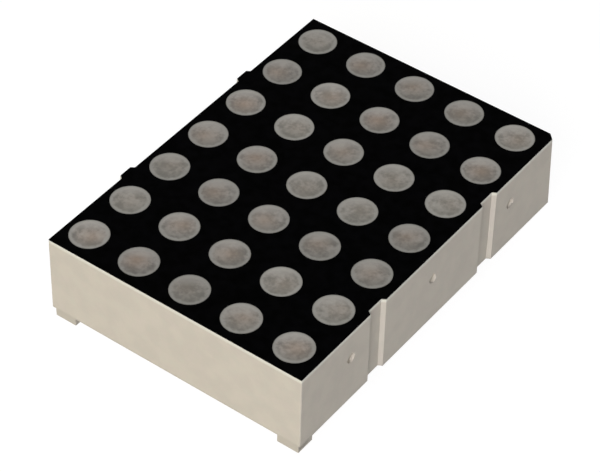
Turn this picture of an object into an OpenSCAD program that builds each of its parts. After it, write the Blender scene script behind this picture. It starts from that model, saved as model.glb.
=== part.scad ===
// Dot matrix display module: one moulded reflector case, one resin lens in each tapered cup,
// LED chips on a circuit board behind them, and two rows of pins through a potted back.
// Z = 0 is the seating plane under the feet, and X = Y = 0 is the middle of the dots and pins.

/* [Dots] */
// Columns of dots
dot_cols = 5; // [3:1:5]
// Rows of dots
dot_rows = 7; // [5:2:7]
// Distance between dot centres, both ways
dot_pitch = 7.62; // [7.4:0.01:8.6]
// Diameter of a dot at the viewing face
dot_d = 5; // [4:0.05:5.6]
// Diameter of a reflector cup where it meets the circuit board
cup_base_d = 2.6; // [2:0.1:3.4]
// Wall around each reflector cup
cup_wall = 0.7; // [0.5:0.05:0.9]
// Thickness of the webs that tie the cups together
web_t = 0.8; // [0.6:0.05:1.2]

/* [Case] */
// Gap left between two modules that stand side by side on the dot grid
side_gap = 0.5; // [0.2:0.05:0.8]
// Gap left between two modules that stand end to end on the dot grid
end_gap = 0.45; // [0.2:0.05:0.8]
// How far the case sits off the middle of the dots, to the notched side
case_shift_x = 0.25; // [0:0.05:0.25]
// How far the case sits off the middle of the dots, to the first row's end
case_shift_y = -0.1; // [-0.2:0.05:0.2]
// Height of the case, from its lower rim to its face
case_h = 11.15; // [9:0.05:14]
// Thickness of the case's outer walls
wall_t = 1.2; // [1.1:0.05:1.4]
// Thickness of the face between the cups
face_t = 1; // [0.8:0.05:1.6]
// Height of the stand-off feet below the lower rim
foot_h = 1.1; // [0.5:0.1:1.6]
// Length of a foot along the short side
foot_w = 3.1; // [2:0.1:4]
// Length of a foot along the long side
foot_l = 2.7; // [2:0.1:4]
// How far the near feet stand in from the notched side
foot_inset_notched = 0.2; // [0:0.05:0.6]
// How far the near feet stand in from the tabbed side
foot_inset_tabbed = 0.6; // [0:0.05:0.8]
// How far the far feet stand in from both long sides
foot_inset_far = 0.8; // [0:0.05:0.9]

/* [Tabs, notches and marks] */
// Distance between the two tabs, and between the two notches
tab_spacing = 23.2; // [18:0.1:28]
// How far a tab stands out from the side
tab_out = 0.47; // [0.3:0.01:0.6]
// Width of a tab at its root
tab_root_w = 2.6; // [2.2:0.05:3.2]
// Width of a tab at its tip
tab_tip_w = 1.95; // [1.2:0.05:2.1]
// Clearance of a notch round the tab that it takes
tab_clear = 0.25; // [0.1:0.05:0.35]
// Depth that a notch has beyond the tab
notch_extra = 0.05; // [0:0.05:0.1]
// Diameter of the round dimples on the notched side
dimple_d = 1.5; // [0.8:0.1:2]
// Depth of the dimples
dimple_depth = 0.45; // [0.2:0.05:0.6]
// Distance between neighbouring dimples
dimple_spacing = 16.7; // [15:0.1:18]
// How far the dimples lie below the face
dimple_drop = 4.2; // [3:0.1:6]
// Cut across the far notched corner, at the face
corner_cut_top = 0.75; // [0.3:0.05:1]
// The same cut at the lower rim
corner_cut_rim = 0.08; // [0.02:0.01:0.3]

/* [Face film] */
// Thickness of the black face film
film_t = 0.1; // [0.05:0.01:0.3]
// How far the film stays inside the edge of the case
film_inset = 0.05; // [0.02:0.01:0.15]

/* [Board and potting] */
// Thickness of the circuit board
board_t = 1.6; // [1:0.1:2]
// Clearance between the circuit board and the case walls
board_clear = 0.15; // [0.05:0.05:0.3]
// Depth of the circuit board's back below the lower rim
board_recess = 2; // [1.6:0.1:2.6]
// Thickness of the potting behind the circuit board
seal_t = 1.4; // [0.8:0.1:1.5]
// Side of a square LED chip
chip_w = 0.35; // [0.25:0.01:0.5]
// Thickness of an LED chip
chip_t = 0.25; // [0.15:0.01:0.35]

/* [Pins] */
// Pins in each of the two rows
pins_per_row = 6; // [4:2:6]
// Distance between the pins of a row
pin_pitch = 2.54; // [2:0.01:2.6]
// Diameter of a pin
pin_d = 0.5; // [0.4:0.01:0.55]
// Length of a pin below the seating plane
pin_len = 4; // [3:0.1:8]
// Length of the taper at a pin's tip
pin_tip_l = 0.4; // [0.2:0.05:0.8]
// Diameter of the flat end of a pin's tip
pin_tip_d = 0.25; // [0.1:0.01:0.35]
// Diameter of a pin's neck, the thicker part that board and potting hold
neck_d = 0.6; // [0.55:0.01:0.7]
// How far the neck reaches out of the potting
neck_out = 0.2; // [0:0.05:0.4]
// Diameter of the head that holds a pin on the board
head_d = 1; // [0.8:0.05:1.2]
// Thickness of a pin's head
head_t = 0.25; // [0.15:0.05:0.5]
// Clearance between a pin's neck and its hole in the board, all round
hole_clear = 0.05; // [0.02:0.01:0.1]
// Clearance between a pin's head and the case, all round
head_clear = 0.2; // [0.1:0.05:0.3]
// Diameter of a solder joint on the board
solder_d = 1.5; // [1.2:0.05:1.7]
// Height of a solder joint
solder_h = 0.7; // [0.4:0.05:0.8]
// Thickness of the solder round the neck at the joint's end
solder_lip = 0.08; // [0.05:0.01:0.1]

/* [Hidden] */
pin_count = 2 * pins_per_row;

$fn = 48;
over = 0.01;  // overshoot of a cutting shape, so that it leaves no skin

function chip_name(row) = str("led_chips_r", row);
function lens_name(row, col) = str("lens_r", row, "_c", col);
function pin_name(pin) = str("pin_", pin);

// Heights above the seating plane
rim_z = foot_h;
face_z = rim_z + case_h;
board_z = rim_z + board_recess;
board_top_z = board_z + board_t;
seal_z = board_z - seal_t;

// The case's outline
case_w = dot_cols * dot_pitch - side_gap;
case_l = dot_rows * dot_pitch - end_gap;
left_x = case_shift_x - case_w / 2;
right_x = case_shift_x + case_w / 2;
near_y = case_shift_y - case_l / 2;
far_y = case_shift_y + case_l / 2;
notch_depth = tab_out + notch_extra;
corner_lean = atan((corner_cut_top - corner_cut_rim) / sqrt(2) / case_h);

// The pins: each row lies midway between the last two rows of dots at its end
pin_row_y = (dot_rows / 2 - 1) * dot_pitch;
pin_span = (pins_per_row - 1) * pin_pitch;

function dot_x(col) = (col - (dot_cols + 1) / 2) * dot_pitch;
// Row 1 is the row at the far end
function dot_y(row) = ((dot_rows + 1) / 2 - row) * dot_pitch;

// Pins are counted round the module: along the near row, then back along the far row
function pin_place(pin) =
    pin <= pins_per_row
        ? [(pin - 1) * pin_pitch - pin_span / 2, -pin_row_y]
        : [pin_span / 2 - (pin - 1 - pins_per_row) * pin_pitch, pin_row_y];

// Radius of a reflector cup at height z
function cup_r(z) =
    cup_base_d / 2 + (dot_d - cup_base_d) / 2 * (z - board_top_z) / (face_z - board_top_z);

// Four points of a tab or a notch that crosses the side line x, from its near to its far end
function trapezoid(x, y, reach, root_w, tip_w) = [
    [x, y - root_w / 2],
    [x + reach, y - tip_w / 2],
    [x + reach, y + tip_w / 2],
    [x, y + root_w / 2]
];

function reversed(points) = [for (i = [len(points) - 1:-1:0]) points[i]];

// The case seen from above, drawn in by an inset: notches on the right, tabs on the left
function case_outline(inset) =
    let (
        ys = [-tab_spacing / 2, tab_spacing / 2],
        notch_root = tab_root_w + 2 * (tab_clear + inset),
        notch_tip = tab_tip_w + 2 * (tab_clear + inset),
        notches = [for (y = ys)
            each trapezoid(right_x - inset, y, -notch_depth, notch_root, notch_tip)],
        tabs = [for (y = ys)
            each trapezoid(left_x + inset, y, -tab_out, tab_root_w - 2 * inset, tab_tip_w - 2 * inset)]
    )
    concat(
        [[left_x + inset, near_y + inset], [right_x - inset, near_y + inset]],
        notches,
        [[right_x - inset, far_y - inset], [left_x + inset, far_y - inset]],
        reversed(tabs)
    );

module at_each_dot() {
    for (row = [1:dot_rows])
        for (col = [1:dot_cols])
            translate([dot_x(col), dot_y(row), 0]) children();
}

module at_each_pin() {
    for (pin = [1:pin_count])
        translate(pin_place(pin)) children();
}

// A block between two heights that fills the case's inside, drawn out by a margin
module inside_block(z0, z1, margin = 0) {
    translate([left_x + wall_t - margin, near_y + wall_t - margin, z0])
        cube([case_w - 2 * (wall_t - margin), case_l - 2 * (wall_t - margin), z1 - z0]);
}

// A tapered cup between two heights, with a wall added to its radius
module cup(z0, z1, wall = 0) {
    translate([0, 0, z0])
        cylinder(h = z1 - z0, r1 = cup_r(z0) + wall, r2 = cup_r(z1) + wall);
}

// The space beyond the leaning cut across the far notched corner
module corner_cutter(inset = 0) {
    reach = 2 * case_h;
    translate([right_x, far_y, face_z])
        rotate([0, 0, 45])
            translate([-corner_cut_top / sqrt(2) - inset, 0, 0])
                rotate([0, -corner_lean, 0])
                    translate([0, -reach / 2, -reach])
                        cube([reach, reach, 2 * reach]);
}

module foot(x, y) {
    translate([x, y, 0]) cube([foot_w, foot_l, rim_z + wall_t]);
}

// The feet are the corners of the outer walls carried down past the rim
module feet() {
    foot(left_x + foot_inset_tabbed, near_y);
    foot(right_x - foot_inset_notched - foot_w, near_y);
    foot(left_x + foot_inset_far, far_y - foot_l);
    foot(right_x - foot_inset_far - foot_w, far_y - foot_l);
}

// Thin-walled cups tied together by webs along each row and column of dots
module cup_frame() {
    intersection() {
        union() {
            at_each_dot() cup(board_top_z, face_z - face_t / 2, cup_wall);
            for (row = [1:dot_rows])
                translate([left_x, dot_y(row) - web_t / 2, board_top_z])
                    cube([case_w, web_t, face_z - face_t / 2 - board_top_z]);
            for (col = [1:dot_cols])
                translate([dot_x(col) - web_t / 2, near_y, board_top_z])
                    cube([web_t, case_l, face_z - face_t / 2 - board_top_z]);
        }
        inside_block(board_top_z, face_z, wall_t / 3);
    }
}

module dimple(y) {
    translate([right_x - dimple_depth, y, face_z - dimple_drop])
        rotate([0, 90, 0])
            cylinder(h = dimple_depth + over, d = dimple_d);
}

module reflector_case() {
    color([0.8, 0.76, 0.69])
    difference() {
        union() {
            difference() {
                union() {
                    translate([0, 0, rim_z])
                        linear_extrude(height = case_h) polygon(case_outline(0));
                    feet();
                }
                inside_block(-over, face_z - face_t);
            }
            cup_frame();
        }
        at_each_dot() cup(board_top_z - over, face_z + over);
        at_each_pin()
            translate([0, 0, board_top_z - over])
                cylinder(h = head_t + head_clear + over, d = head_d + 2 * head_clear);
        for (i = [-1:1]) dimple(case_shift_y + i * dimple_spacing);
        corner_cutter();
    }
}

module face_film() {
    color([0.02, 0.02, 0.02])
    difference() {
        translate([0, 0, face_z])
            linear_extrude(height = film_t)
                difference() {
                    polygon(case_outline(film_inset));
                    at_each_dot() circle(d = dot_d);
                }
        corner_cutter(film_inset);
    }
}

// The resin in one cup, flush with the film, cast round the chip on the board
module lens(row, col) {
    color([0.48, 0.47, 0.44])
    translate([dot_x(col), dot_y(row), 0])
        difference() {
            union() {
                cup(board_top_z, face_z);
                translate([0, 0, face_z]) cylinder(h = film_t, d = dot_d);
            }
            chip();
        }
}

module chip() {
    translate([-chip_w / 2, -chip_w / 2, board_top_z])
        cube([chip_w, chip_w, chip_t]);
}

// The chips of one row of dots, one in the bottom of each cup
module led_chips(row) {
    color([0.85, 0.6, 0.2])
    for (col = [1:dot_cols])
        translate([dot_x(col), dot_y(row), 0]) chip();
}

module circuit_board() {
    color([0.1, 0.35, 0.2])
    difference() {
        inside_block(board_z, board_top_z, -board_clear);
        at_each_pin()
            translate([0, 0, board_z - over])
                cylinder(h = board_t + 2 * over, d = neck_d + 2 * hole_clear);
    }
}

// The outer shape of one solder joint on the back of the board
module solder_cone() {
    translate([0, 0, board_z - solder_h])
        cylinder(h = solder_h, d1 = neck_d + 2 * solder_lip, d2 = solder_d);
}

module solder_joints() {
    color([0.7, 0.71, 0.73])
    at_each_pin()
        difference() {
            solder_cone();
            translate([0, 0, seal_z]) cylinder(h = 2 * seal_t, d = neck_d);
        }
}

// Potting poured over the board's back, round the solder joints and pins
module back_seal() {
    color([0.87, 0.85, 0.78])
    difference() {
        inside_block(seal_z, board_z);
        at_each_pin() {
            solder_cone();
            translate([0, 0, seal_z - over]) cylinder(h = seal_t, d = neck_d);
        }
    }
}

// A headed wire pin: flat-ended tapered tip, round shank, thicker neck, flat head on the board
module wire_pin(pin) {
    tip_z = -pin_len;
    neck_z = seal_z - neck_out;
    head_z = board_top_z;
    color([0.82, 0.83, 0.85])
    translate(pin_place(pin))
        union() {
            translate([0, 0, tip_z])
                cylinder(h = pin_tip_l, d1 = pin_tip_d, d2 = pin_d);
            translate([0, 0, tip_z + pin_tip_l])
                cylinder(h = neck_z - tip_z - pin_tip_l, d = pin_d);
            translate([0, 0, neck_z]) cylinder(h = head_z - neck_z, d = neck_d);
            translate([0, 0, head_z]) cylinder(h = head_t, d = head_d);
        }
}

reflector_case();
face_film();
circuit_board();
back_seal();
solder_joints();
for (row = [1:dot_rows])
    led_chips(row);
for (row = [1:dot_rows])
    for (col = [1:dot_cols])
        lens(row, col);
for (pin = [1:pin_count])
    wire_pin(pin);
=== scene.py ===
# %% [markdown]
# # An LED dot matrix module
# A dot matrix module is a flat plastic case with a grid of round resin dots in a black face.
# The imported CAD model already holds every piece at its real size. This lesson dresses it: it softens
# the case's moulded edges, lets the potting climb its walls, gives each piece its finish, and then
# lights and frames the part.
# First the CAD nodes are loaded, and a helper is made that reads a node's box.

# %% Load the frame
import math

import bmesh
import bpy
from mathutils import Matrix, Vector


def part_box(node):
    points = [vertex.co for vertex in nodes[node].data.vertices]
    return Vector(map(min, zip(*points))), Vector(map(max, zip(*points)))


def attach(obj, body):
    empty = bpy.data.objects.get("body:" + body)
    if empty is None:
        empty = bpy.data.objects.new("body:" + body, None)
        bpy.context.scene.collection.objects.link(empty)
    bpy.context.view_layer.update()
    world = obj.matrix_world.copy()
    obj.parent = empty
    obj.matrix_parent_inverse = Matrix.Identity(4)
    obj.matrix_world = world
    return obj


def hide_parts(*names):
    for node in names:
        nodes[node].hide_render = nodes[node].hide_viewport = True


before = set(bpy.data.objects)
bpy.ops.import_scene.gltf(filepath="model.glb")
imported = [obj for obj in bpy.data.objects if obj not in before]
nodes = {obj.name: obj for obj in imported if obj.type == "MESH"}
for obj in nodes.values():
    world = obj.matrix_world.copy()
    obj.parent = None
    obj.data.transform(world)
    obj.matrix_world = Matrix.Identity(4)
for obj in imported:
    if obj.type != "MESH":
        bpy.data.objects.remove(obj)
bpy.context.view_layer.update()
MM = 0.001

# %% [markdown]
# ## Sizes taken from the frame
# Every place in this lesson comes from the CAD nodes' boxes, so that nothing has to be fitted by eye.
# The dots stand on a square grid, and the distance between two neighbours is its pitch. Row 4, column 3
# is the middle dot, and the middle of the module. Patterns that repeat from dot to dot need both.
# The potting lies a little deeper than the case's lower rim, which gives the height of that rim.

# %% Measure the pieces
def middle(node):
    low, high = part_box(node)
    return (low + high) / 2


case_low, case_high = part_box("reflector_case")
seal_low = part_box("back_seal")[0]
pin_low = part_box("pin_1")[0]
dot_low, dot_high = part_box("lens_r4_c3")
dot_radius = (dot_high.x - dot_low.x) / 2
pitch = (middle("lens_r4_c4") - middle("lens_r4_c3")).x
seal_depth = 0.6 * MM
rim_height = seal_low.z - seal_depth
print("pitch", round(pitch / MM, 3), "mm, dot radius", round(dot_radius / MM, 3), "mm")

# %% [markdown]
# ## Working copies
# A CAD node's mesh is loose triangles: each face has its own corners, so no edge is shared and no
# edge can be bevelled. A piece that gets a new shape therefore starts as a copy of the node, with
# the corners that lie on each other merged and the flat triangles joined into whole faces.
# The copy is a new object at the origin, and the CAD node itself is left alone.

# %% Copy a node as a clean mesh
def clean_copy(node, name):
    piece = nodes[node].copy()
    piece.data = nodes[node].data.copy()
    piece.name = piece.data.name = name
    piece.parent = None
    bpy.context.scene.collection.objects.link(piece)
    bpy.ops.object.select_all(action="DESELECT")
    piece.select_set(True)
    bpy.context.view_layer.objects.active = piece
    bpy.ops.object.mode_set(mode="EDIT")
    bpy.ops.mesh.select_all(action="SELECT")
    bpy.ops.mesh.remove_doubles(threshold=0.001 * MM)
    bpy.ops.mesh.dissolve_limited(angle_limit=math.radians(0.5))
    bpy.ops.mesh.select_all(action="DESELECT")
    bpy.ops.object.mode_set(mode="OBJECT")
    print(name, "has", len(piece.data.polygons), "faces")
    return piece


# %% [markdown]
# Edges and faces are chosen by their place, as a modeller would pick them by eye. A test gets each
# edge's two ends in millimetres and the angle between its faces, which is above 0 on an outer edge
# and below 0 in an inner corner.

# %% Select edges or faces by their place
def select_edges(piece, wanted):
    mesh = bmesh.from_edit_mesh(piece.data)
    bpy.ops.mesh.select_all(action="DESELECT")
    bpy.ops.mesh.select_mode(type="EDGE")
    for edge in mesh.edges:
        angle = math.degrees(edge.calc_face_angle_signed(0))
        edge.select_set(wanted(edge.verts[0].co / MM, edge.verts[1].co / MM, angle))
    bmesh.update_edit_mesh(piece.data)
    print(piece.name, "edges selected:", sum(edge.select for edge in mesh.edges))


def select_faces(piece, wanted):
    mesh = bmesh.from_edit_mesh(piece.data)
    bpy.ops.mesh.select_all(action="DESELECT")
    bpy.ops.mesh.select_mode(type="FACE")
    for face in mesh.faces:
        face.select_set(wanted(face.calc_center_median() / MM, face.normal))
    bmesh.update_edit_mesh(piece.data)
    print(piece.name, "faces selected:", sum(face.select for face in mesh.faces))


# %% [markdown]
# A narrow rounding next to a wide flat face needs care. Smooth shading alone would share the tilt of
# the rounding with the whole flat face, and dull triangles would show on it. The Weighted Normal
# modifier lets the larger face decide, so that the flat stays flat and only the rounding turns.

# %% Smooth only the roundings
def smooth_over_bevels(piece, angle):
    bpy.ops.object.shade_smooth_by_angle(angle=math.radians(angle))
    weigh = piece.modifiers.new("weigh", "WEIGHTED_NORMAL")
    weigh.keep_sharp = True
    weigh.weight = 100
    bpy.ops.object.modifier_apply(modifier=weigh.name)
    print(piece.name, "is shaded smooth up to", angle, "degrees")


# %% [markdown]
# ## The case
# The case is one moulding of white plastic. A mould never gives a knife edge: the corners, the feet
# and the lower rim are rounded by about a tenth of a millimetre, and it is this rounding that catches
# the light as a fine line. It could be faked in the material, but only real geometry gives the right
# line from every side, so the edges are bevelled, the case's corners more than the small edges. The
# round dimples keep their sharp punched edge, and the leaning cut at one corner is too narrow at the
# rim for a bevel, so both are left out.

# %% Round the case's outer edges
case = clean_copy("reflector_case", "case_moulding")
low, high, rim = case_low / MM, case_high / MM, rim_height / MM
side_depth = 0.6
corner_rounding = 0.17 * MM
edge_rounding = 0.1 * MM


def on_outside(point):
    return (point.x < low.x + side_depth or point.x > high.x - side_depth
            or point.y < low.y + 0.01 or point.y > high.y - 0.01)


def is_standing_edge(a, b, angle):
    return angle > 50 and abs(a.z - b.z) > 0.8 and on_outside(a) and on_outside(b)


def is_lower_edge(a, b, angle):
    return angle > 50 and max(a.z, b.z) < rim + 0.01


def is_small_edge(a, b, angle):
    return is_standing_edge(a, b, angle) or is_lower_edge(a, b, angle)


def is_corner_edge(a, b, angle):
    return is_standing_edge(a, b, angle) and angle > 80 and abs(a.z - b.z) > 5


bpy.ops.object.mode_set(mode="EDIT")
select_edges(case, is_corner_edge)
bpy.ops.mesh.bevel(offset=corner_rounding, segments=4, affect="EDGES", clamp_overlap=True)
select_edges(case, is_small_edge)
bpy.ops.mesh.bevel(offset=edge_rounding, segments=3, affect="EDGES", clamp_overlap=True)
print("the case now has", len(bmesh.from_edit_mesh(case.data).faces), "faces")

# %% [markdown]
# The black ink reaches to within a twentieth of a millimetre of the case's edge. The rounding of the
# upper edge stays inside that strip, so that the ink still lies on flat plastic everywhere.

# %% Round the upper edge
def is_upper_edge(a, b, angle):
    return angle > 50 and min(a.z, b.z) > high.z - 0.01 and on_outside(a) and on_outside(b)


select_edges(case, is_upper_edge)
bpy.ops.mesh.bevel(offset=0.05 * MM, segments=2, affect="EDGES", clamp_overlap=True)
bpy.ops.mesh.select_all(action="DESELECT")
bpy.ops.object.mode_set(mode="OBJECT")
smooth_over_bevels(case, 35)
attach(case, "root")
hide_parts("reflector_case")
print(case.name, "has", len(case.data.polygons), "faces")

# %% [markdown]
# ## The potting
# The back of the module is closed with resin that is poured in while liquid. Before it sets it creeps
# up whatever it touches, so it stands highest along the walls and round every pin, and dips in
# between. Insetting the flat back makes a strip along the walls and a ring round each pin in one
# step, and pressing what is inside them in gives that dip. Two insets give it a rounded foot.

# %% Let the potting climb the walls and pins
potting = clean_copy("back_seal", "potting")
back = seal_low.z / MM
bpy.ops.object.mode_set(mode="EDIT")
select_faces(potting, lambda centre, normal: normal.z < -0.9 and centre.z < back + 0.01)
for width, rise in ((0.12, 0.09), (0.18, 0.05), (0.25, 0.02)):
    bpy.ops.mesh.inset(thickness=width * MM, depth=0, use_even_offset=True)
    bpy.ops.transform.translate(value=(0, 0, rise * MM))
bpy.ops.mesh.select_all(action="DESELECT")
bpy.ops.object.mode_set(mode="OBJECT")
smooth_over_bevels(potting, 50)
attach(potting, "root")
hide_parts("back_seal")
print(potting.name, "has", len(potting.data.polygons), "faces")

# %% [markdown]
# ## Tools for the finishes
# Every finish is a small network of nodes that ends in one Principled shader. Colours are written as
# the eye meets them on a screen, from 0 to 255, and are turned into the linear values that a shader
# works with. The other helpers add a node, a noise of a given grain in millimetres, a product, a ramp
# and a mix, so that a finish reads as a short recipe. All patterns read Object coordinates, which stay on
# the piece whatever the camera does.

# %% Helpers for materials
BLACK = (0, 0, 0, 1)
WHITE = (1, 1, 1, 1)


def shade(red, green, blue):
    def linear(value):
        value = value / 255
        return value / 12.92 if value <= 0.04045 else ((value + 0.055) / 1.055) ** 2.4
    return (linear(red), linear(green), linear(blue), 1)


def add(tree, kind, inputs=None, **settings):
    made = tree.nodes.new("ShaderNode" + kind)
    for name, value in settings.items():
        setattr(made, name, value)
    for socket, value in (inputs or {}).items():
        if isinstance(value, bpy.types.NodeSocket):
            tree.links.new(value, made.inputs[socket])
        else:
            made.inputs[socket].default_value = value
    return made


def start_finish(name, metallic=0.0, specular=0.5):
    finish = bpy.data.materials.new(name)
    finish.use_nodes = True
    shader = finish.node_tree.nodes["Principled BSDF"]
    shader.inputs["Metallic"].default_value = metallic
    shader.inputs["Specular IOR Level"].default_value = specular
    place = add(finish.node_tree, "TexCoord").outputs["Object"]
    return finish, finish.node_tree, shader, place


def grain(tree, place, size, detail, stretch=(1, 1, 1), offset=0.0):
    moved = add(tree, "Mapping", {"Vector": place, "Location": (offset, offset, offset), "Scale": stretch})
    noise = add(tree, "TexNoise", {"Vector": moved.outputs[0], "Scale": 1 / (size * MM), "Detail": detail})
    return noise.outputs["Fac"]


def times(tree, first, second):
    return add(tree, "Math", {0: first, 1: second}, operation="MULTIPLY").outputs[0]


def combine(tree, operation, first, second):
    return add(tree, "VectorMath", {0: first, 1: second}, operation=operation).outputs


def ramp(tree, source, stops):
    made = add(tree, "ValToRGB", {"Fac": source})
    made.color_ramp.interpolation = "EASE"
    points = made.color_ramp.elements
    while len(points) < len(stops):
        points.new(1.0)
    for point, (position, colour) in zip(points, stops):
        point.position = position
        point.color = colour
    return made.outputs["Color"]


def mix(tree, share, first, second):
    made = add(tree, "Mix", data_type="RGBA")
    for socket, value in ((0, share), (6, first), (7, second)):
        if isinstance(value, bpy.types.NodeSocket):
            tree.links.new(value, made.inputs[socket])
        else:
            made.inputs[socket].default_value = value
    return made.outputs[2]


def span(tree, source, low, high, start=0.0, end=1.0):
    made = add(tree, "MapRange", {"Value": source, "From Min": start, "From Max": end,
                                  "To Min": low, "To Max": high})
    return made.outputs["Result"]


def emboss(tree, shader, height, depth, strength):
    bump = add(tree, "Bump", {"Height": height, "Distance": depth * MM, "Strength": strength})
    tree.links.new(bump.outputs["Normal"], shader.inputs["Normal"])


def set_link(tree, source, shader, socket):
    tree.links.new(source, shader.inputs[socket])


def paint(finish, *names):
    for name in names:
        mesh = bpy.data.objects[name].data
        mesh.materials.clear()
        mesh.materials.append(finish)


print("a middle grey of 128 is", round(shade(128, 128, 128)[0], 3), "in linear light")

# %% [markdown]
# ## The case's plastic
# The case is moulded in a warm off-white plastic with a fine satin surface. Two soft clouds of
# slightly pinker and slightly greener plastic lie over the base colour, as the pigment is never quite
# even. The last half millimetre below the face is painted lighter, a painted highlight for the light that
# the rounded upper edge catches, and the lower rim is a little greyer, darker towards the bottom. A very
# fine bump breaks the highlight as a sandblasted mould does.

# %% Case plastic
finish, tree, shader, place = start_finish("case_plastic", specular=0.25)
clouds = grain(tree, place, 2.6, 3.0)
base = ramp(tree, clouds, [(0.35, shade(201, 194, 182)), (0.65, shade(206, 199, 186))])
tint = grain(tree, place, 1.1, 2.0, offset=0.3)
tinted = mix(tree, span(tree, tint, 0.0, 0.2, 0.5, 0.75), base, shade(199, 201, 188))
blushed = mix(tree, span(tree, tint, 0.2, 0.0, 0.25, 0.5), tinted, shade(212, 199, 193))
height = add(tree, "SeparateXYZ", {"Vector": place}).outputs["Z"]
# Painted highlight: a lighter band in the last half millimetre below the face stands in for the light caught
# by the rounded upper edge.
strip_start, strip_full = case_high.z - 0.55 * MM, case_high.z - 0.2 * MM
painted_edge_highlight = span(tree, height, 0.0, 0.8, strip_start, strip_full)
edge_highlighted = mix(tree, painted_edge_highlight, blushed, shade(231, 231, 220))
# The lower rim is a little greyer, darker towards the bottom.
near_rim = span(tree, height, 0.45, 0.0, rim_height, rim_height + 0.35 * MM)
set_link(tree, mix(tree, near_rim, edge_highlighted, shade(178, 172, 160)), shader, "Base Color")
satin = grain(tree, place, 0.35, 2.0, offset=0.7)
set_link(tree, span(tree, satin, 0.48, 0.66), shader, "Roughness")
emboss(tree, shader, grain(tree, place, 0.09, 3.0), 0.006, 0.6)
paint(finish, "case_moulding", "reflector_case")
print("case plastic:", len(tree.nodes), "nodes")

# %% [markdown]
# ## The black face
# The face is printed with a dead black ink, so that only the lit dots show. It reflects almost
# nothing: its specular level is far below a plastic's, and its surface is rough. A little unevenness
# of the ink layer keeps it from being one flat value when it is seen close up.

# %% Black ink
finish, tree, shader, place = start_finish("face_black", specular=0.005)
film = grain(tree, place, 1.4, 3.0)
set_link(tree, ramp(tree, film, [(0.3, shade(1, 1, 1)), (0.7, shade(5, 5, 6))]), shader, "Base Color")
set_link(tree, span(tree, grain(tree, place, 0.3, 2.0), 0.6, 0.8), shader, "Roughness")
emboss(tree, shader, grain(tree, place, 0.15, 2.0), 0.004, 0.5)
paint(finish, "face_film")
print("black ink:", len(tree.nodes), "nodes")

# %% [markdown]
# ## The dots
# Each dot is a cup filled with milky resin. Seen from above, the cup's wall shines through as a light
# ring at the rim, with a darker line inside it, and the middle is a grey-brown that differs a little
# from dot to dot. One material serves all 35 lenses: the place is folded back onto one grid cell, and
# the distance from the middle of that cell draws the rings. The number of the cell feeds a white
# noise, which gives every dot its own tint.

# %% Fold the grid onto one dot
finish, tree, shader, place = start_finish("lens_resin", specular=0.3)
grid = combine(tree, "MULTIPLY", place, (1 / pitch, 1 / pitch, 0))[0]
shifted = combine(tree, "ADD", grid, (0.5, 0.5, 0))[0]
cell = add(tree, "VectorMath", {0: shifted}, operation="FLOOR").outputs[0]
inside = combine(tree, "SUBTRACT", grid, cell)[0]
reach = add(tree, "VectorMath", {0: inside}, operation="LENGTH").outputs["Value"]
radius = span(tree, reach, 0.0, 1.0, 0.0, dot_radius / pitch)
chance = add(tree, "TexWhiteNoise", {"Vector": cell}, noise_dimensions="3D")
print("dot radius is", round(dot_radius / pitch, 3), "of the pitch")

# %% [markdown]
# ## The middle of a dot
# Deep in the resin lies the chip on its board, and the milky resin lets it through as a brownish,
# blurred patch that never sits quite in the middle. Round it the resin is mottled in two sizes, fine
# specks and broad dim and pale blotches. A painted texture could hold all of this, but it would be the
# same in every dot. Noise over the whole face, and a patch moved by the number of the grid square, give
# each dot marks of its own.

# %% Colour the middle of a dot
mottle = grain(tree, place, 0.38, 4.0)
fine = ramp(tree, mottle, [(0.3, shade(117, 113, 109)), (0.7, shade(150, 145, 139))])
blotch = grain(tree, place, 1.5, 3.0, offset=0.8)
dimmed = mix(tree, span(tree, blotch, 0.65, 0.0, 0.34, 0.48), fine, shade(98, 95, 89))
core = mix(tree, span(tree, blotch, 0.0, 0.6, 0.5, 0.64), dimmed, shade(168, 164, 159))
own = add(tree, "SeparateXYZ", {"Vector": chance.outputs["Color"]}).outputs
drift = combine(tree, "SUBTRACT", chance.outputs["Color"], (0.5, 0.5, 0.5))[0]
shift = combine(tree, "MULTIPLY", drift, (0.16, 0.16, 0))[0]
off_middle = combine(tree, "DISTANCE", inside, shift)["Value"]
patch = span(tree, off_middle, 0.8, 0.0, 0.0, 0.28)
warmth = times(tree, patch, span(tree, own["Z"], 0.9, 0.2))
warm = mix(tree, warmth, core, shade(158, 136, 118))
print("middle of a dot:", len(tree.nodes), "nodes so far")

# %% [markdown]
# ## The lit and the shaded side of a cup
# The cup stands under the resin like a bowl. Light that falls in from the near end and the notched side
# reaches the wall across from it, which shows as a lighter crescent, and leaves the near wall dimmer.
# Clear resin over a real bowl would do this by itself, but only with many bounces of light. A blend along
# one direction, measured from the middle of the dot, costs nothing and is just as soft.

# %% Colour the two sides of a dot
to_lit_wall = (-0.58, 0.81, 0)
across = combine(tree, "DOT_PRODUCT", inside, to_lit_wall)["Value"]
shaded_side = mix(tree, span(tree, across, 0.5, 0.0, -0.24, -0.04), warm, shade(100, 97, 90))
lit_side = mix(tree, span(tree, across, 0.0, 0.85, 0.07, 0.28), shaded_side, shade(184, 180, 175))
greener = mix(tree, span(tree, own["Z"], 0.0, 0.22), lit_side, shade(132, 135, 124))
print("sides of a dot:", len(tree.nodes), "nodes so far")

# %% [markdown]
# ## The rim of a dot
# At its rim the resin is thinnest and the pale wall of the cup shines through, so each dot ends in a
# soft lighter ring of uneven strength, with a faint darker one inside it and a thin darker line where
# the ink stops. All are colour ramps of the distance from the middle. Noise is added to the distance
# first, so that the rings wander. The roughness follows the specks, and a fine bump breaks the gloss.

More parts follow.
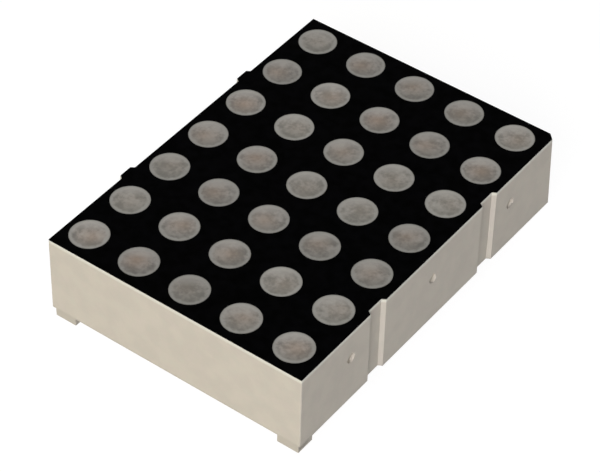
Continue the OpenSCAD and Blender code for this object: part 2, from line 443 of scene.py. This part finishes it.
# %% Colour the rim of a dot
wobble = span(tree, grain(tree, place, 0.7, 4.0, offset=0.5), -0.16, 0.16)
wobbled = add(tree, "Math", {0: radius, 1: wobble}, operation="ADD").outputs[0]
dark_line = ramp(tree, wobbled, [(0.5, BLACK), (0.74, WHITE), (0.86, BLACK)])
shaded = mix(tree, span(tree, dark_line, 0.0, 0.14), greener, shade(100, 97, 93))
light_ring = ramp(tree, wobbled, [(0.74, BLACK), (0.93, WHITE)])
strength = span(tree, grain(tree, place, 0.9, 2.0, offset=0.7), 0.4, 1.2)
ring = times(tree, light_ring, strength)
ringed = mix(tree, ring, shaded, shade(153, 152, 147))
edge_ring = ramp(tree, radius, [(0.92, BLACK), (1.0, WHITE)])
edged = mix(tree, span(tree, edge_ring, 0.0, 0.5), ringed, shade(96, 95, 90))
own_light = span(tree, chance.outputs["Value"], 0.87, 1.13)
lit = add(tree, "HueSaturation", {"Color": edged, "Value": own_light}).outputs[0]
set_link(tree, lit, shader, "Base Color")
set_link(tree, span(tree, mottle, 0.4, 0.55), shader, "Roughness")
emboss(tree, shader, grain(tree, place, 0.25, 2.0), 0.006, 0.4)
lenses = sorted(name for name in nodes if name.startswith("lens_"))
paint(finish, *lenses)
print("lens resin on", len(lenses), "lenses")

# %% [markdown]
# ## Potting
# The potting is a milky cream resin, poured into the back and left to set, with a soft gloss and a few
# cloudy spots. A glass-like material with scatter inside would be truer in depth, but slow to render for
# a layer that only its surface shows. So two grains colour the surface, and a third one dents it a little.

# %% Potting resin
finish, tree, shader, place = start_finish("potting_resin", specular=0.5)
milk = grain(tree, place, 3.5, 3.0)
body = ramp(tree, milk, [(0.3, shade(214, 208, 190)), (0.7, shade(226, 221, 206))])
spots = grain(tree, place, 0.5, 1.0, offset=0.2)
spotted = mix(tree, span(tree, spots, 0.0, 0.35, 0.62, 0.75), body, shade(236, 233, 222))
set_link(tree, spotted, shader, "Base Color")
set_link(tree, span(tree, grain(tree, place, 1.2, 2.0), 0.2, 0.36), shader, "Roughness")
emboss(tree, shader, grain(tree, place, 2.2, 2.0), 0.03, 0.4)
paint(finish, "potting", "back_seal")
print("potting resin:", len(tree.nodes), "nodes")

# %% [markdown]
# ## Circuit board
# The board is woven glass in resin under a green mask, and the weave shows as fine diagonal bands that
# are slightly paler. It lies inside the closed case, but it is finished like the rest, because a module
# can be cut open in another picture. A wave texture gives the bands without a single extra face.

# %% Board laminate
finish, tree, shader, place = start_finish("board_laminate", specular=0.5)
weave_look = {"Vector": place, "Scale": 900.0, "Distortion": 1.5, "Detail": 1.0}
weave = add(tree, "TexWave", weave_look, bands_direction="DIAGONAL").outputs["Fac"]
mask = ramp(tree, grain(tree, place, 1.8, 2.0), [(0.3, shade(22, 88, 52)), (0.7, shade(30, 104, 62))])
woven = mix(tree, span(tree, weave, 0.0, 0.25), mask, shade(48, 122, 76))
set_link(tree, woven, shader, "Base Color")
set_link(tree, span(tree, weave, 0.3, 0.42), shader, "Roughness")
emboss(tree, shader, weave, 0.01, 0.4)
paint(finish, "circuit_board")
print("board laminate:", len(tree.nodes), "nodes")

# %% [markdown]
# ## Chips
# The chips are amber crystal, a third of a millimetre wide, seven nodes with the five chips of a row
# each. At that size only the tone of the crystal matters, so one fine grain drives the colour, the
# roughness and the bump together.

# %% Chips
finish, tree, shader, place = start_finish("chip_semiconductor", specular=0.6)
crystal = grain(tree, place, 0.08, 2.0)
amber = ramp(tree, crystal, [(0.3, shade(196, 150, 60)), (0.7, shade(222, 178, 84))])
set_link(tree, amber, shader, "Base Color")
set_link(tree, span(tree, crystal, 0.25, 0.4), shader, "Roughness")
emboss(tree, shader, crystal, 0.003, 0.4)
chips = sorted(name for name in nodes if name.startswith("led_chips_"))
paint(finish, *chips)
print("chips:", len(chips), "rows")

# %% [markdown]
# ## Solder and pins
# Both are tin. The joints froze from a melt, so they are dull and softly grained. The pins are drawn
# wire dipped in tin, so their grain is stretched along Z, the way the wire was pulled: a noise that is
# squeezed tenfold along its length gives fine streaks in the colour, the roughness and the bump.

# %% Tin finishes
finish, tree, shader, place = start_finish("solder", metallic=1.0)
frost = grain(tree, place, 0.12, 3.0)
dull_tin = ramp(tree, frost, [(0.3, shade(186, 188, 190)), (0.7, shade(206, 207, 208))])
set_link(tree, dull_tin, shader, "Base Color")
set_link(tree, span(tree, frost, 0.35, 0.55), shader, "Roughness")
emboss(tree, shader, frost, 0.006, 0.5)
paint(finish, "solder_joints")

finish, tree, shader, place = start_finish("pin_metal", metallic=1.0)
streaks = grain(tree, place, 0.05, 2.0, stretch=(1, 1, 0.1))
patches = grain(tree, place, 0.8, 2.0)
tin = ramp(tree, patches, [(0.3, shade(196, 198, 200)), (0.7, shade(216, 216, 215))])
drawn = mix(tree, span(tree, streaks, 0.0, 0.3), tin, shade(176, 178, 182))
set_link(tree, drawn, shader, "Base Color")
set_link(tree, span(tree, patches, 0.22, 0.38), shader, "Roughness")
emboss(tree, shader, streaks, 0.004, 0.4)
pins = sorted(name for name in nodes if name.startswith("pin_"))
paint(finish, *pins)
print("tin on", len(pins), "pins and the joints")

# %% [markdown]
# ## The floor
# The module stands on its pins on a plain pale floor. A studio floor looks white because far more light
# falls on it than the camera can hold, but more light would also wash out the object. So what the
# camera and the mirror-like rays see is mostly a floor that glows white by itself. The lit floor is
# added to that at a low share, which keeps a soft shadow. All other rays see a plain pale floor.
# The lower side of the floor is clear, so that the underside of the module can be looked at as well.

# %% Floor
bpy.ops.object.select_all(action="DESELECT")
bpy.ops.mesh.primitive_plane_add(size=4.0, location=(0, 0, pin_low.z))
floor = bpy.context.active_object
floor.name = "floor"
bpy.ops.object.transform_apply(location=True, rotation=True, scale=True)
finish = bpy.data.materials.new("floor_white")
finish.use_nodes = True
tree = finish.node_tree
tree.nodes.clear()


def seen_directly(tree):
    rays = add(tree, "LightPath").outputs
    eye_or_mirror = {0: rays["Is Camera Ray"], 1: rays["Is Glossy Ray"]}
    first = add(tree, "Math", eye_or_mirror, operation="MAXIMUM").outputs[0]
    return add(tree, "Math", {0: first, 1: rays["Is Transmission Ray"]}, operation="MAXIMUM").outputs[0]


lit_share = 0.16
glow_share = 0.92
seen_tone = (lit_share, lit_share, lit_share, 1)
floor_tone = mix(tree, seen_directly(tree), shade(206, 206, 205), seen_tone)
lit_floor = add(tree, "BsdfDiffuse", {"Color": floor_tone})
glow = add(tree, "Emission", {"Color": WHITE, "Strength": times(tree, seen_directly(tree), glow_share)})
both = add(tree, "AddShader", {0: lit_floor.outputs[0], 1: glow.outputs[0]})
lower_side = add(tree, "NewGeometry").outputs["Backfacing"]
clear = add(tree, "BsdfTransparent", {"Color": WHITE})
one_sided = add(tree, "MixShader", {0: lower_side, 1: both.outputs[0], 2: clear.outputs[0]})
add(tree, "OutputMaterial", {"Surface": one_sided.outputs[0]})
paint(finish, "floor")
print("floor at", round(pin_low.z / MM, 2), "mm")

# %% [markdown]
# ## Light
# The near end of the case is lit about as its colour is written, and the long side by the camera gets
# three fifths of that and a little cooler, which is what makes the two read as two faces. A wide sky
# gives the even part of the light, and a large lamp in front, a little to the notched side, gives the
# most of it. A weak warm lamp on the other side warms the near end alone, and a third lamp behind keeps
# the back from going dark. Large lamps at a distance give soft edges and no hard highlights.

# %% World and lamps
world = bpy.data.worlds.new("studio")
bpy.context.scene.world = world
world.use_nodes = True
tree = world.node_tree
tree.nodes.clear()
sky = add(tree, "Background", {"Color": (0.95, 0.98, 1.0, 1), "Strength": 0.14})
backdrop = add(tree, "Background", {"Color": WHITE, "Strength": 1.0})
both = add(tree, "MixShader", {0: seen_directly(tree), 1: sky.outputs[0], 2: backdrop.outputs[0]})
add(tree, "OutputWorld", {"Surface": both.outputs[0]})


def seen_from(turn, rise):
    """The direction that is turned from the near end towards the notched side, and raised, in degrees."""
    turn, rise = math.radians(turn), math.radians(rise)
    return Vector((math.sin(turn) * math.cos(rise), -math.cos(turn) * math.cos(rise), math.sin(rise)))


def hang_lamp(name, turn, rise, distance, size, watts, colour):
    place = seen_from(turn, rise) * distance
    bpy.ops.object.select_all(action="DESELECT")
    bpy.ops.object.light_add(type="AREA", location=place)
    lamp = bpy.context.active_object
    lamp.name = name
    lamp.rotation_euler = place.to_track_quat("Z", "Y").to_euler()
    lamp.data.size = size
    lamp.data.energy = watts
    lamp.data.color = colour
    print(name, "at", [round(value, 2) for value in place], "m gives", watts, "W")


hang_lamp("key_lamp", 25, 33, 1.1, 0.5, 9.45, (1.0, 0.985, 1.02))
hang_lamp("warm_lamp", -15, 25, 1.1, 0.7, 1.33, (1.0, 0.80, 0.08))
hang_lamp("back_lamp", 232, 35, 1.2, 0.8, 2.7, (1.0, 0.98, 0.96))

# %% [markdown]
# ## Camera
# The camera looks down on one corner from about 44 degrees above the floor. It stands far away with a
# long lens, so that the module's edges stay nearly parallel. Its place is given as a turn round the
# object, a height angle and a distance from the point that it looks at, and a small roll levels the
# picture.

# %% Camera
aim = Vector((1.96, -3.86, 7.84)) * MM
away = seen_from(35.753, 43.630)
roll = math.radians(1.480)
bpy.ops.object.camera_add(location=aim + away * 318.3 * MM)
camera = bpy.context.active_object
camera.name = "camera"
camera.rotation_euler = (away.to_track_quat("Z", "Y").to_matrix() @ Matrix.Rotation(roll, 3, "Z")).to_euler()
camera.data.sensor_width = 36.0
camera.data.lens = 156.96
camera.data.clip_end = 20.0
bpy.context.scene.camera = camera
bpy.context.scene.view_settings.view_transform = "Standard"
print("camera", [round(value / MM, 1) for value in camera.location], "mm")
